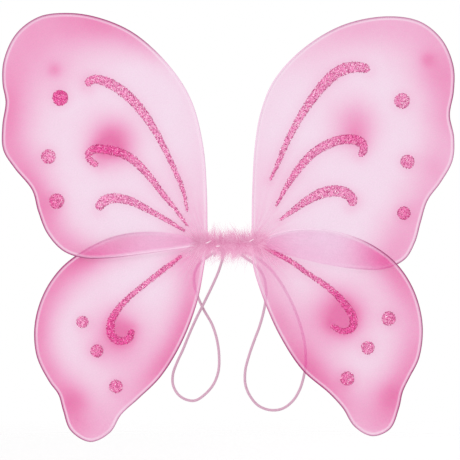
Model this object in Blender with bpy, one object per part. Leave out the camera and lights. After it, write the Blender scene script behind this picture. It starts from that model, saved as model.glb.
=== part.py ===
"""Fairy wings: four wire-framed nylon wings on a short taped bridge, with a feather trim and two elastic loops.

The wings are worn upright. +Z is up, -Y is the decorated front, and +Y is the wearer's side. The origin is the
middle of the bridge's flat back. Each side of the wings folds about an upright axis at the end of the bridge,
and each lower wing also swings in its own plane about the place where its wires are bound.
Sizes below are in millimetres, and MM turns them into Blender's metres.
"""

import math

import bmesh
import bpy
from mathutils import Matrix, Vector

MM = 0.001
COLLECTION = "fairy_wings"
CUTTERS = "cutters"
GAP = 0.3  # between solids that touch on the real object

# Places of the wings
ROOT_X = 25.0  # from the middle to the upright axis that a side folds about
SIDE_Y = -6.0  # depth of that axis
LAYER = 2.1  # a wing lies this far in front of or behind the side's middle

# Wires and cloth
WIRE_R = 1.0
WIRE_POINTS = 54
CLOTH = 0.5
CLOTH_INSET = WIRE_R + GAP + 0.7
CLOTH_FROM_ROOT = 8.0
CLOTH_POINTS = 60

# Thread wraps that bind each wing's two wire ends
WRAP_R = 5.0
WRAP_DEPTH = 2 * LAYER - 0.4
WRAP_SIDES = 20
CHANNEL_R = 1.35
CHANNEL_LENGTH = 8.0

# Dried glitter glue
GLITTER = 0.6
STROKE_STEPS = 16
DOT_SIDES = 16

# The bridge: four twisted wire stems in a tape wrap, with a flat back at y = 0
BRIDGE_HALF = 17.5
BRIDGE_SIDE = 9.6
BRIDGE_WALL = 1.0
BRIDGE_CORNER = 1.6
BRIDGE_MID_Y = -BRIDGE_SIDE / 2
STEM_R = 1.6
STEM_SPREAD = 1.9  # a stem's centre from the bridge's centre, across and up
STEM_LENGTH = 31.5

# Feather trim, glued along the bridge's front
TRIM_R = 14.0
TRIM_Y = -10.0
TRIM_BACK_Y = -3.6
TRIM_CORD_R = 0.9
TRIM_CORD_Y = -11.9

# Elastic shoulder loops
ELASTIC_R = 1.5
ELASTIC_POINTS = 40
KNOT_R = 3.2
KNOT_Z = -BRIDGE_SIDE / 2 - GAP - KNOT_R
KNOT_X = {"left_inner": -6.5, "left_outer": -14.5, "right_inner": 8.5, "right_outer": 15.3}

# Each wire's route as (out, up) from the wing's root, from one bound end round to the other.
UPPER_LEFT_WIRE = [
    (0, 1.8), (0.3, 20), (1, 58), (5, 107), (18.2, 157.2), (43.2, 195.7), (82, 230.7), (122, 247.5),
    (155, 251.8), (184.3, 247.6), (208.5, 229.6), (222, 201), (223.5, 176), (220, 155), (223.6, 129),
    (222.7, 102.7), (210.6, 83), (191, 58.5), (184.3, 35), (174.5, 11), (157, -8), (135, -15.5),
    (106, -15.5), (62, -10), (13, -2.8), (2.2, -0.6),
]
UPPER_RIGHT_WIRE = [
    (0, 1.8), (0.5, 20), (1, 53), (4, 107), (10.5, 144.2), (24.6, 178.3), (55.7, 212.4), (99.7, 238.8),
    (149, 248.5), (184.8, 242.7), (208.5, 223), (220.7, 194.3), (221, 167), (216.6, 141), (221.3, 116),
    (219.6, 91), (207, 67.7), (192.3, 47.4), (184.6, 23.2), (178.6, 1.8), (167.4, -17.2), (145, -27.5),
    (119.5, -28), (74.5, -21), (15, -5), (2.2, -0.8),
]
LOWER_LEFT_WIRE = [
    (2.2, 0.6), (10, 3), (38, 9.5), (70, 11), (101, 6.5), (130.5, -6.5), (159, -27.5), (178.6, -55.8),
    (188.5, -90), (186.4, -124), (173, -151.8), (162.5, -166.5), (157.3, -184.2), (149.3, -205.8),
    (128.5, -218), (107.5, -208.2), (95, -188.3), (76.3, -171), (51.7, -146.7), (28.9, -109.8), (12, -66),
    (3.2, -21), (0.3, -2),
]
LOWER_RIGHT_WIRE = [
    (2.2, 0.8), (11, 4.8), (35, 12.5), (64.5, 15), (96.5, 10.5), (129.5, -2), (158, -23.5), (177, -53),
    (186.2, -90), (182.6, -125.6), (171.7, -148), (164.7, -162.8), (160.2, -181.8), (150.9, -203.5),
    (132, -211.2), (113, -201), (100.3, -181), (85.1, -164.4), (56.2, -139.4), (31.5, -102), (13.9, -62.7),
    (2, -25), (0.3, -2),
]

# Each swirl's middle line and half-width as (out, up, half), from its thin end near the root to its curl.
UPPER_LEFT_SWIRLS = [
    [(21, 35, 1), (25.8, 57, 1.8), (37.5, 85.2, 2.6), (54.3, 118.8, 3.5), (71, 144.5, 4.7), (88, 163, 5.3),
     (105, 174.5, 5.2), (120, 180, 4.6), (129, 178, 4.2), (131, 172, 3.4)],
    [(21, 19, 1), (34, 36.5, 2), (48.5, 54, 2.8), (66.8, 77.6, 3.8), (84.5, 94, 4.5), (99.7, 100.6, 4.6),
     (113, 103, 4.7), (125, 102.5, 4.3), (130, 97, 3.7), (127, 90, 3.3), (120, 85, 3)],
    [(24, 13, 1), (42, 24, 2.3), (66, 37.5, 3.3), (84.5, 46.3, 4.4), (99.5, 49.5, 5.1), (111.5, 47, 5.5),
     (117, 41.7, 5), (118, 36, 4.2)],
]
UPPER_RIGHT_SWIRLS = [
    [(19.5, 68.5, 1), (28, 87, 2.1), (39, 112.8, 3.1), (52, 137.2, 3.8), (66, 158.7, 4.5), (81, 177, 5.5),
     (95.5, 189, 6), (108.5, 193.2, 5.8), (120.5, 193.5, 5.2), (129, 190, 4.3)],
    [(26, 40, 1), (36.6, 59.6, 2.4), (50, 80, 3.8), (66.8, 98.6, 4.6), (85.3, 109.6, 4.9), (100, 114, 5),
     (113.3, 113.8, 5.2), (121.6, 108.8, 4.8), (122.5, 101.5, 4), (118, 95.5, 2.9)],
    [(30, 25, 1), (43.3, 34.6, 2.7), (60, 46.4, 4.3), (76.9, 55, 5.6), (93.5, 57.2, 6), (104.6, 54, 5.8),
     (110.5, 47, 5.2), (108.5, 41, 4.5)],
]
LOWER_LEFT_SWIRLS = [
    [(27.5, -14, 1.2), (44, -26.5, 2.6), (64.7, -42.8, 2.7), (85.2, -59.4, 2.8), (99, -74.5, 3.5),
     (105.5, -87.5, 4.1), (105, -101, 4.5), (96.2, -108.2, 4.2), (85.5, -105, 3.6), (82, -95, 3.4)],
]
LOWER_RIGHT_SWIRLS = [
    [(10, -5, 0.9), (23.6, -10.4, 2.1), (42.7, -20.3, 2.5), (61.6, -33.8, 2.5), (80, -46.2, 2.9),
     (95.4, -59.7, 3.5), (106.6, -73.8, 4.1), (111.5, -84.5, 4.1), (109.5, -93.6, 3.8), (100, -97, 3.2),
     (86.6, -90.7, 2.5)],
]

# Each dot as (out, up, radius), from the top down.
UPPER_LEFT_DOTS = [(161, 159.5, 8.6), (174, 95, 7.8), (165, 46, 8.2)]
UPPER_RIGHT_DOTS = [(165, 156.5, 8.4), (171, 89.5, 7.6), (167, 33, 7.2)]
LOWER_LEFT_DOTS = [(137, -87, 6.6), (121, -119, 7), (100, -158, 7.2)]
LOWER_RIGHT_DOTS = [(150, -83, 7.6), (127, -115, 7.2), (104.5, -149, 7.6)]

# name, side of the middle, layer (-1 in front), wire, swirls, dots. The right side's lower wing lies in front.
WINGS = [
    ("upper_left", -1, -1, UPPER_LEFT_WIRE, UPPER_LEFT_SWIRLS, UPPER_LEFT_DOTS),
    ("lower_left", -1, 1, LOWER_LEFT_WIRE, LOWER_LEFT_SWIRLS, LOWER_LEFT_DOTS),
    ("upper_right", 1, 1, UPPER_RIGHT_WIRE, UPPER_RIGHT_SWIRLS, UPPER_RIGHT_DOTS),
    ("lower_right", 1, -1, LOWER_RIGHT_WIRE, LOWER_RIGHT_SWIRLS, LOWER_RIGHT_DOTS),
]

# The loops hang behind the wings, from one knot down and back up to the other.
LEFT_LOOP = [
    (-6.5, 0.1, -12), (-7.4, 1.2, -16), (-9, 3, -22), (-12.5, 5, -32.5), (-20, 6.3, -49.5), (-28.5, 6.5, -67),
    (-37.5, 6.5, -85), (-45, 6.5, -102), (-51.5, 6.5, -118), (-58, 6.8, -132), (-62.5, 7, -145),
    (-62.5, 7.2, -157), (-57, 7.5, -167.5), (-48, 8, -173.5), (-38, 8.5, -174.5), (-27.5, 9, -168),
    (-18, 9.5, -157), (-12.5, 10, -143), (-11.5, 10.3, -126), (-14, 10.5, -107), (-19.5, 10.5, -90),
    (-28, 10.5, -75), (-35, 10.5, -60), (-39, 10.3, -46), (-38.5, 9.5, -33), (-33, 7.6, -22.5),
    (-25.5, 5.2, -16.5), (-20.5, 3.1, -13), (-16.9, 1.5, -10.6),
]
RIGHT_LOOP = [
    (11, 0.9, -10.8), (14, 2, -13.8), (19, 3.4, -17.3), (26, 5, -22), (33, 6, -29), (38, 6.5, -38),
    (40.5, 6.5, -50), (40, 6.5, -63), (37.5, 6.5, -77), (33, 6.5, -93), (27, 6.5, -109), (21.5, 6.5, -125),
    (17.5, 6.5, -141), (17.5, 6.6, -156), (22.5, 6.9, -169), (32, 7.2, -180), (45, 7.6, -185),
    (58.5, 8, -183.5), (70, 8.3, -175), (77.5, 8.6, -163), (82, 8.8, -149), (84.5, 9, -132), (83.5, 9, -113),
    (79, 9, -93), (71.5, 9, -72), (62, 8.8, -53), (51.5, 8.3, -36.5), (40, 7.2, -24), (30, 5.3, -16.3),
    (23, 3.4, -12.4), (17.9, 1.8, -10.1),
]

STEEL = ((0.88, 0.68, 0.80), 0.4, 0.3)
NYLON = ((0.89, 0.57, 0.76), 0.55, 0.0)
GLITTER_PINK = ((0.80, 0.20, 0.45), 0.3, 0.0)
THREAD = ((0.85, 0.52, 0.70), 0.8, 0.0)
TAPE = ((0.84, 0.45, 0.66), 0.6, 0.0)
FEATHER = ((0.78, 0.38, 0.60), 0.95, 0.0)
ELASTIC = ((0.80, 0.50, 0.64), 0.7, 0.0)


# ---------------------------------------------------------------- paths


def smooth(points, count):
    """count points, evenly spaced along a smooth curve through the given points (centripetal Catmull-Rom)."""
    points = [Vector(p) for p in points]
    first, last = 2 * points[0] - points[1], 2 * points[-1] - points[-2]
    padded = [first, *points, last]
    fine = [points[0]]
    for a, b, c, d in zip(padded, padded[1:], padded[2:], padded[3:]):
        fine += [catmull(a, b, c, d, k / 12) for k in range(1, 13)]
    return evenly(fine, count)


def catmull(a, b, c, d, share):
    """The point at that share of the way from b to c, on the curve through a, b, c and d."""
    ta = 0.0
    tb = ta + math.sqrt((b - a).length)
    tc = tb + math.sqrt((c - b).length)
    td = tc + math.sqrt((d - c).length)
    t = tb + (tc - tb) * share
    ab = a * ((tb - t) / (tb - ta)) + b * ((t - ta) / (tb - ta))
    bc = b * ((tc - t) / (tc - tb)) + c * ((t - tb) / (tc - tb))
    cd = c * ((td - t) / (td - tc)) + d * ((t - tc) / (td - tc))
    abc = ab * ((tc - t) / (tc - ta)) + bc * ((t - ta) / (tc - ta))
    bcd = bc * ((td - t) / (td - tb)) + cd * ((t - tb) / (td - tb))
    return abc * ((tc - t) / (tc - tb)) + bcd * ((t - tb) / (tc - tb))


def evenly(line, count):
    """count points, evenly spaced along a line of straight runs."""
    along = [0.0]
    for a, b in zip(line, line[1:]):
        along.append(along[-1] + (b - a).length)
    out, k = [], 0
    for i in range(count):
        at = along[-1] * i / (count - 1)
        while k < len(line) - 2 and along[k + 1] < at:
            k += 1
        share = (at - along[k]) / max(along[k + 1] - along[k], 1e-9)
        out.append(line[k].lerp(line[k + 1], min(share, 1.0)))
    return out


def sideways(line, k):
    """The unit vector across a flat line at its point k, to the left of its direction."""
    ahead = line[min(k + 1, len(line) - 1)] - line[max(k - 1, 0)]
    return Vector((-ahead.y, ahead.x)).normalized()


def inset(line, distance):
    """A flat line moved by distance towards the inside of the loop that it makes."""
    area = sum(a.x * b.y - b.x * a.y for a, b in zip(line, [*line[1:], line[0]]))
    inward = 1 if area > 0 else -1
    return [p + sideways(line, k) * distance * inward for k, p in enumerate(line)]


def stroke(swirl):
    """The outline of a brush stroke: both sides of its middle line, with a round end at the curl."""
    triples = smooth(swirl, STROKE_STEPS)
    line = [Vector((p.x, p.y)) for p in triples]
    left = [p + sideways(line, k) * triples[k].z for k, p in enumerate(line)]
    right = [p - sideways(line, k) * triples[k].z for k, p in enumerate(line)]
    end, across = line[-1], sideways(line, len(line) - 1)
    ahead = Vector((across.y, -across.x))
    turns = [math.radians(a) for a in (45, 90, 135)]
    cap = [end + (across * math.cos(a) + ahead * math.sin(a)) * triples[-1].z for a in turns]
    return [*left, *cap, *reversed(right)]


# ---------------------------------------------------------------- Blender objects


def clear_scene():
    for obj in list(bpy.data.objects):
        bpy.data.objects.remove(obj)


def new_collection(name):
    made = bpy.data.collections.new(name)
    bpy.context.scene.collection.children.link(made)
    return made


def material(name, look):
    colour, roughness, metallic = look
    made = bpy.data.materials.new(name)
    made.use_nodes = True
    shader = made.node_tree.nodes["Principled BSDF"]
    shader.inputs["Base Color"].default_value = (*colour, 1)
    shader.inputs["Roughness"].default_value = roughness
    shader.inputs["Metallic"].default_value = metallic
    made.diffuse_color = (*colour, 1)
    return made


def pivot(name, parent=None, place=(0, 0, 0)):
    """An empty on a joint's axis. place is in millimetres, from its parent."""
    made = bpy.data.objects.new(name, None)
    bpy.data.collections[COLLECTION].objects.link(made)
    made.parent = parent
    made.location = Vector(place) * MM
    return made


def add(name, data, look, parent, place=(0, 0, 0), turn=(0, 0, 0)):
    """A named piece at a place in its parent's frame, in millimetres, turned by degrees about X, Y and Z."""
    made = bpy.data.objects.new(name, data)
    bpy.data.collections[COLLECTION].objects.link(made)
    made.parent = parent
    made.location = Vector(place) * MM
    made.rotation_euler = [math.radians(a) for a in turn]
    data.materials.append(look)
    return made


def tube_data(name, points, radius):
    data = bpy.data.curves.new(name, "CURVE")
    data.dimensions = "3D"
    data.bevel_depth = radius * MM
    data.bevel_resolution = 2
    data.use_fill_caps = True
    spline = data.splines.new("POLY")
    spline.points.add(len(points) - 1)
    for slot, p in zip(spline.points, points):
        slot.co = (*(Vector(p) * MM), 1)
    return data


def plate_data(name, outline, thickness):
    """A flat shape: its outline in local X and Y, its thickness shared to both sides."""
    data = bpy.data.curves.new(name, "CURVE")
    data.dimensions = "2D"
    data.fill_mode = "BOTH"
    data.extrude = thickness / 2 * MM
    spline = data.splines.new("POLY")
    spline.use_cyclic_u = True
    spline.points.add(len(outline) - 1)
    for slot, p in zip(spline.points, outline):
        slot.co = (p[0] * MM, p[1] * MM, 0, 1)
    return data


def rod_data(name, radius, length, sides):
    """A cylinder along local Z."""
    data = bpy.data.meshes.new(name)
    mesh = bmesh.new()
    bmesh.ops.create_cone(
        mesh, cap_ends=True, segments=sides, radius1=radius * MM, radius2=radius * MM, depth=length * MM
    )
    mesh.to_mesh(data)
    mesh.free()
    return smooth_shaded(data)


def smooth_shaded(data):
    data.shade_smooth()
    data.set_sharp_from_angle(angle=math.radians(40))
    return data


def cut(obj, cutter):
    cutter.hide_render = True
    cutter.display_type = "WIRE"
    modifier = obj.modifiers.new("cut_" + cutter.name, "BOOLEAN")
    modifier.operation = "DIFFERENCE"
    modifier.object = cutter


# ---------------------------------------------------------------- wings


def wing_points(side, pairs):
    """(out, up) pairs as local (x, z) of a wing on that side, in a flat plane."""
    return [Vector((side * out, up)) for out, up in pairs]


def add_frame(name, side, wire, parent, looks):
    line = smooth(wing_points(side, wire), WIRE_POINTS)
    data = tube_data(name, [(p.x, 0, p.y) for p in line], WIRE_R)
    add(name, data, looks["steel"], parent)


def add_cloth(name, side, wire, parent, looks):
    """The nylon inside its wire. It stops short of the thread wrap, where the real sleeve is gathered."""
    line = smooth(wing_points(side, wire), CLOTH_POINTS)
    outline = [p for p in inset(line, CLOTH_INSET) if p.length > CLOTH_FROM_ROOT]
    add(name, plate_data(name, outline, CLOTH), looks["nylon"], parent, turn=(90, 0, 0))


def add_glitter(wing, side, swirls, dots, parent, looks):
    front = -(CLOTH / 2 + GAP + GLITTER / 2)
    for k, swirl in enumerate(swirls, 1):
        name = f"{wing}_glitter_swirl_{k}"
        outline = stroke([(side * out, up, half) for out, up, half in swirl])
        add(name, plate_data(name, outline, GLITTER), looks["glitter"], parent, (0, front, 0), (90, 0, 0))
    for k, (out, up, radius) in enumerate(dots, 1):
        name = f"{wing}_glitter_dot_{k}"
        data = rod_data(name, radius, GLITTER, DOT_SIDES)
        add(name, data, looks["glitter"], parent, (side * out, front, up), (90, 0, 0))


def add_root_wrap(name, side, wire, parent, looks):
    """The thread wrap round a wing's bound wire ends, with a channel for each end."""
    wrap = add(name, rod_data(name, WRAP_R, WRAP_DEPTH, WRAP_SIDES), looks["thread"], parent, turn=(90, 0, 0))
    ends = [wing_points(side, wire[:2]), wing_points(side, wire[:-3:-1])]
    for k, (end, following) in enumerate(ends, 1):
        along = (following - end).normalized()
        middle = end + along * (CHANNEL_LENGTH / 2 - 1)
        data = rod_data(f"{name}_channel_{k}", CHANNEL_R, CHANNEL_LENGTH, 12)
        cutter = bpy.data.objects.new(data.name, data)
        bpy.data.collections[CUTTERS].objects.link(cutter)
        cutter.parent = parent
        cutter.location = Vector((middle.x, 0, middle.y)) * MM
        cutter.rotation_euler = (0, math.atan2(along.x, along.y), 0)
        cut(wrap, cutter)


def add_wing(wing, side, wire, swirls, dots, parent, looks):
    add_frame(f"{wing}_wire_frame", side, wire, parent, looks)
    add_cloth(f"{wing}_nylon_sleeve", side, wire, parent, looks)
    add_glitter(wing, side, swirls, dots, parent, looks)
    add_root_wrap(f"{wing}_root_wrap", side, wire, parent, looks)


# ---------------------------------------------------------------- bridge


def rounded_square(side, corner):
    """The outline of a square with round corners, about its middle."""
    inner = side / 2 - corner
    outline = []
    for quarter in range(4):
        middle = Matrix.Rotation(math.radians(90 * quarter), 2) @ Vector((inner, inner))
        for step in range(4):
            angle = math.radians(90 * quarter + 30 * step)
            outline.append(middle + Vector((math.cos(angle), math.sin(angle))) * corner)
    return outline


def add_tape_wrap(parent, looks):
    """A square tube of tape, open at both ends, lying along X."""
    data = plate_data("bridge_tape_wrap", rounded_square(BRIDGE_SIDE, BRIDGE_CORNER), 2 * BRIDGE_HALF)
    inner = rounded_square(BRIDGE_SIDE - 2 * BRIDGE_WALL, BRIDGE_CORNER - BRIDGE_WALL)
    spline = data.splines.new("POLY")
    spline.use_cyclic_u = True
    spline.points.add(len(inner) - 1)
    for slot, p in zip(spline.points, inner):
        slot.co = (p.x * MM, p.y * MM, 0, 1)
    add("bridge_tape_wrap", data, looks["tape"], parent, (0, BRIDGE_MID_Y, 0), (90, 0, 90))


def add_stems(parent, looks):
    """Each wing's two wire ends, twisted together. They enter from that wing's side and lie side by side."""
    for wing, side, layer, *_ in WINGS:
        rise = 1 if wing.startswith("upper") else -1
        x = side * (BRIDGE_HALF - STEM_LENGTH / 2)
        # The left stems lie at the back of the bundle and the right ones at the front.
        y = BRIDGE_MID_Y - side * STEM_SPREAD
        name = f"{wing}_twisted_stem"
        data = rod_data(name, STEM_R, STEM_LENGTH, 12)
        add(name, data, looks["steel"], parent, (x, y, rise * STEM_SPREAD), (0, 90, 0))


def add_feather_trim(parent, looks):
    """The feather trim's body: a C round the bridge's front, top and underside, with a groove for its cord."""
    front_side = -BRIDGE_SIDE - 2 * GAP
    groove, groove_front = TRIM_CORD_R + 2 * GAP, TRIM_CORD_Y - TRIM_CORD_R - 2 * GAP
    slot = BRIDGE_SIDE / 2 + 2 * GAP
    turn = math.acos((TRIM_BACK_Y - TRIM_Y) / TRIM_R)
    steps = 18
    angles = [turn + (2 * math.pi - 2 * turn) * k / steps for k in range(steps + 1)]
    outer = [(TRIM_Y + TRIM_R * math.cos(a), TRIM_R * math.sin(a)) for a in angles]
    inner = [
        (TRIM_BACK_Y, -slot), (front_side, -slot), (front_side, -groove), (groove_front, -groove),
        (groove_front, groove), (front_side, groove), (front_side, slot), (TRIM_BACK_Y, slot),
    ]
    data = plate_data("feather_trim", [*outer, *inner], 2 * BRIDGE_HALF)
    add("feather_trim", data, looks["feather"], parent, turn=(90, 0, 90))
    core = rod_data("feather_trim_cord", TRIM_CORD_R, 2 * BRIDGE_HALF, 10)
    add("feather_trim_cord", core, looks["thread"], parent, (0, TRIM_CORD_Y, 0), (0, 90, 0))


def add_loops(parent, looks):
    for name, x in KNOT_X.items():
        data = bpy.data.meshes.new(f"{name}_loop_knot")
        mesh = bmesh.new()
        bmesh.ops.create_uvsphere(mesh, u_segments=12, v_segments=8, radius=KNOT_R * MM)
        mesh.to_mesh(data)
        mesh.free()
        add(f"{name}_loop_knot", smooth_shaded(data), looks["elastic"], parent, (x, 0, KNOT_Z))
    for name, route in (("left_elastic_loop", LEFT_LOOP), ("right_elastic_loop", RIGHT_LOOP)):
        data = tube_data(name, smooth(route, ELASTIC_POINTS), ELASTIC_R)
        add(name, data, looks["elastic"], parent)


# ---------------------------------------------------------------- assembly


def main():
    clear_scene()
    new_collection(COLLECTION)
    new_collection(CUTTERS)
    looks = {
        "steel": material("steel", STEEL),
        "nylon": material("nylon", NYLON),
        "glitter": material("glitter", GLITTER_PINK),
        "thread": material("thread", THREAD),
        "tape": material("tape", TAPE),
        "feather": material("feather", FEATHER),
        "elastic": material("elastic", ELASTIC),
    }
    bridge = pivot("bridge_pivot")
    for side_name, side in (("left", -1), ("right", 1)):
        fold = pivot(f"{side_name}_fold_pivot", bridge, (side * ROOT_X, SIDE_Y, 0))
        for wing, wing_side, layer, wire, swirls, dots in WINGS:
            if wing_side == side:
                root = pivot(f"{wing}_pivot", fold, (0, layer * LAYER, 0))
                add_wing(wing, side, wire, swirls, dots, root, looks)
    add_tape_wrap(bridge, looks)
    add_stems(bridge, looks)
    add_feather_trim(bridge, looks)
    add_loops(bridge, looks)


main()
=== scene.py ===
"""The looks of the fairy wings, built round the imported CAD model.

Four bent wires are covered with sheer airbrushed nylon and drawn on with glitter glue. They meet at a
taped bridge under a marabou trim, and two elastic loops hang from it. Shapes are worked out in
millimetres, and MM turns them into the frame's metres. +Z is up and the decorated front faces -Y.
"""

import math

import bmesh
import bpy
import numpy as np
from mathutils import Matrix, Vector, geometry, noise


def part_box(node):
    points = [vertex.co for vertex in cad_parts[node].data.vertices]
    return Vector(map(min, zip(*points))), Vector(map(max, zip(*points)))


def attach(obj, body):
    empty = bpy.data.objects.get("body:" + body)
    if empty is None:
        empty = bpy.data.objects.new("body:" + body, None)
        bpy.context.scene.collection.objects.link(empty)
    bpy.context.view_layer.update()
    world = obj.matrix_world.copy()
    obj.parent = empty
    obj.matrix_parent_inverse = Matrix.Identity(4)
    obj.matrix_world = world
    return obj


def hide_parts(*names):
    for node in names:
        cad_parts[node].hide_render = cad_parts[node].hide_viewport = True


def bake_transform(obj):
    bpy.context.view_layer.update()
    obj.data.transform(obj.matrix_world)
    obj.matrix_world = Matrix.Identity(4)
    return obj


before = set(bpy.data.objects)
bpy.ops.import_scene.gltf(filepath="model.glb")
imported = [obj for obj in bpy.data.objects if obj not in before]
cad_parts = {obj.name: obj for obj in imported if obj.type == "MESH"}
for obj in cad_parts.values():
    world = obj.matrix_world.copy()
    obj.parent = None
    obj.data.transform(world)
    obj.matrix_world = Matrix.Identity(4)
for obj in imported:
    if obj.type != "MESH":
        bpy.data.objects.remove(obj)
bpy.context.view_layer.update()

MM = 0.001

# The CAD model's driving places, in millimetres
ROOT_X = 25.0
SIDE_Y = -6.0
LAYER = 2.1
WIRE_R = 1.0
ELASTIC_R = 1.5
ELASTIC_SIDES = 12
LOOP_POINTS = 620
BRIDGE_BOX = [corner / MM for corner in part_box("bridge_tape_wrap")]
KNOTS = ["left_inner", "left_outer", "right_inner", "right_outer"]
KNOT_CORD_R = 1.05

# Cloth: points round the wire, the cloth's radius about it, half the least space between its two
# layers, rows of points along the wire, then rings about the root with gaps that widen outwards
RIM_POINTS = 300
CLOTH_R = WIRE_R + 0.14
LAYER_GAP = 0.22
CLOTH_ROWS = (0.7, 1.4, 2.1, 2.8, 3.8, 5.2)
FIRST_RING = 4.0
LAST_RING = 300
LEAST_RING_GAP = 0.35
RING_GAP_GROWTH = 0.036
WIDEST_RING_GAP = 2.9

# Glitter: flakes' tilt, half-thickness, number and spacing along an edge, and the glue's height
FLAKE_TILT = 0.42
FLAKE_HALF = 0.07
FLAKES_PER_MM2 = 1.0
RIM_FLAKE_GAP = 1.3
GLUE_HEIGHT = 0.3
FLAKE_SIDES = 6
DEEPER_GLITTER = {
    "upper_left_glitter_dot_1": 0.75, "lower_left_glitter_swirl_1": 0.2, "lower_right_glitter_swirl_1": 0.2,
}

# Dye's light halo round each glitter stroke: depth and reach
HALO = 0.12
HALO_REACH = 6.0

# Tape: width of a turn, the shares of it before and under the next turn's lap, and the lap's step
TAPE_WIDTH = 6.5
TAPE_FLAT = 0.93
TAPE_LAP = 0.07
TAPE_STEP = 0.28

# Stem wires: places out from the middle, in the tape and then on to the root, and one turn's length
STEM_IN_TAPE = (-13.0, 3, 16.8)
STEM_TO_ROOT = (19.6, 21.8, 24.0)
STEM_TWIST = 11.0

# Thread winding: its run along the root, half-thickness up and forward, and one turn's length
WINDING_RUN = (-3.8, 4.6)
WINDING_UP = 2.9
WINDING_FORWARD = 1.75
THREAD_PITCH = 0.62

# Marabou: clumps in each half, how far out they go, where the end tufts start, barbs in a clump, their
# lengths, points along a barb and round it, and how far forward and back the fluff reaches
CLUMPS = 340
DOWN_REACH = 34
TUFT_START = 22
CLUMP_BARBS = (6, 14)
BARB_LENGTH = (12, 23)
BARB_POINTS = 7
BARB_SIDES = 3
FLUFF_FRONT = -33.0
FLUFF_BACK = -0.6

# One turn's length of the trim cord's two plies
PLY_TWIST = 3.2

# Bare quills: how far back they lie, and each one's (x, z, rise over its run)
QUILL_Y = -22.5
LEFT_QUILLS = [(-12.5, -3.3, 0.1), (-23, 1, 0.5)]
RIGHT_QUILLS = [(24, 3, 0.6)]

# Camera and studio
CAMERA_DISTANCE = 2200.0
CAMERA_AIM = (0.55, SIDE_Y, 14.3)
LENS = 156.5
FLOOR_Z = -350.0
FLOOR_R = 1700.0
FLOOR_SIDES = 96

# ---------------------------------------------------------------- routes and drawings, as the CAD has them

# (out, up) from the wing's root along each wire
UPPER_LEFT_WIRE = [
    (0, 1.8), (0.3, 20), (1, 58), (5, 107), (18.2, 157.2), (43.2, 195.7), (82, 230.7), (122, 247.5),
    (155, 251.8), (184.3, 247.6), (208.5, 229.6), (222, 201), (223.5, 176), (220, 155), (223.6, 129),
    (222.7, 102.7), (210.6, 83), (191, 58.5), (184.3, 35), (174.5, 11), (157, -8), (135, -15.5),
    (106, -15.5), (62, -10), (13, -2.8), (2.2, -0.6),
]
UPPER_RIGHT_WIRE = [
    (0, 1.8), (0.5, 20), (1, 53), (4, 107), (10.5, 144.2), (24.6, 178.3), (55.7, 212.4), (99.7, 238.8),
    (149, 248.5), (184.8, 242.7), (208.5, 223), (220.7, 194.3), (221, 167), (216.6, 141), (221.3, 116),
    (219.6, 91), (207, 67.7), (192.3, 47.4), (184.6, 23.2), (178.6, 1.8), (167.4, -17.2), (145, -27.5),
    (119.5, -28), (74.5, -21), (15, -5), (2.2, -0.8),
]
LOWER_LEFT_WIRE = [
    (2.2, 0.6), (10, 3), (38, 9.5), (70, 11), (101, 6.5), (130.5, -6.5), (159, -27.5), (178.6, -55.8),
    (188.5, -90), (186.4, -124), (173, -151.8), (162.5, -166.5), (157.3, -184.2), (149.3, -205.8),
    (128.5, -218), (107.5, -208.2), (95, -188.3), (76.3, -171), (51.7, -146.7), (28.9, -109.8),
    (12, -66), (3.2, -21), (0.3, -2),
]
LOWER_RIGHT_WIRE = [
    (2.2, 0.8), (11, 4.8), (35, 12.5), (64.5, 15), (96.5, 10.5), (129.5, -2), (158, -23.5), (177, -53),
    (186.2, -90), (182.6, -125.6), (171.7, -148), (164.7, -162.8), (160.2, -181.8), (150.9, -203.5),
    (132, -211.2), (113, -201), (100.3, -181), (85.1, -164.4), (56.2, -139.4), (31.5, -102),
    (13.9, -62.7), (2, -25), (0.3, -2),
]

# (out, up, half-width) along each swirl
UPPER_LEFT_SWIRLS = [
    [(21, 35, 1), (25.8, 57, 1.8), (37.5, 85.2, 2.6), (54.3, 118.8, 3.5), (71, 144.5, 4.7), (88, 163, 5.3),
     (105, 174.5, 5.2), (120, 180, 4.6), (129, 178, 4.2), (131, 172, 3.4)],
    [(21, 19, 1), (34, 36.5, 2), (48.5, 54, 2.8), (66.8, 77.6, 3.8), (84.5, 94, 4.5), (99.7, 100.6, 4.6),
     (113, 103, 4.7), (125, 102.5, 4.3), (130, 97, 3.7), (127, 90, 3.3), (120, 85, 3)],
    [(24, 13, 1), (42, 24, 2.3), (66, 37.5, 3.3), (84.5, 46.3, 4.4), (99.5, 49.5, 5.1), (111.5, 47, 5.5),
     (117, 41.7, 5), (118, 36, 4.2)],
]
UPPER_RIGHT_SWIRLS = [
    [(19.5, 68.5, 1), (28, 87, 2.1), (39, 112.8, 3.1), (52, 137.2, 3.8), (66, 158.7, 4.5), (81, 177, 5.5),
     (95.5, 189, 6), (108.5, 193.2, 5.8), (120.5, 193.5, 5.2), (129, 190, 4.3)],
    [(26, 40, 1), (36.6, 59.6, 2.4), (50, 80, 3.8), (66.8, 98.6, 4.6), (85.3, 109.6, 4.9), (100, 114, 5),
     (113.3, 113.8, 5.2), (121.6, 108.8, 4.8), (122.5, 101.5, 4), (118, 95.5, 2.9)],
    [(30, 25, 1), (43.3, 34.6, 2.7), (60, 46.4, 4.3), (76.9, 55, 5.6), (93.5, 57.2, 6), (104.6, 54, 5.8),
     (110.5, 47, 5.2), (108.5, 41, 4.5)],
]
LOWER_LEFT_SWIRLS = [
    [(27.5, -14, 1.2), (44, -26.5, 2.6), (64.7, -42.8, 2.7), (85.2, -59.4, 2.8), (99, -74.5, 3.5),
     (105.5, -87.5, 4.1), (105, -101, 4.5), (96.2, -108.2, 4.2), (85.5, -105, 3.6), (82, -95, 3.4)],
]
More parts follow.
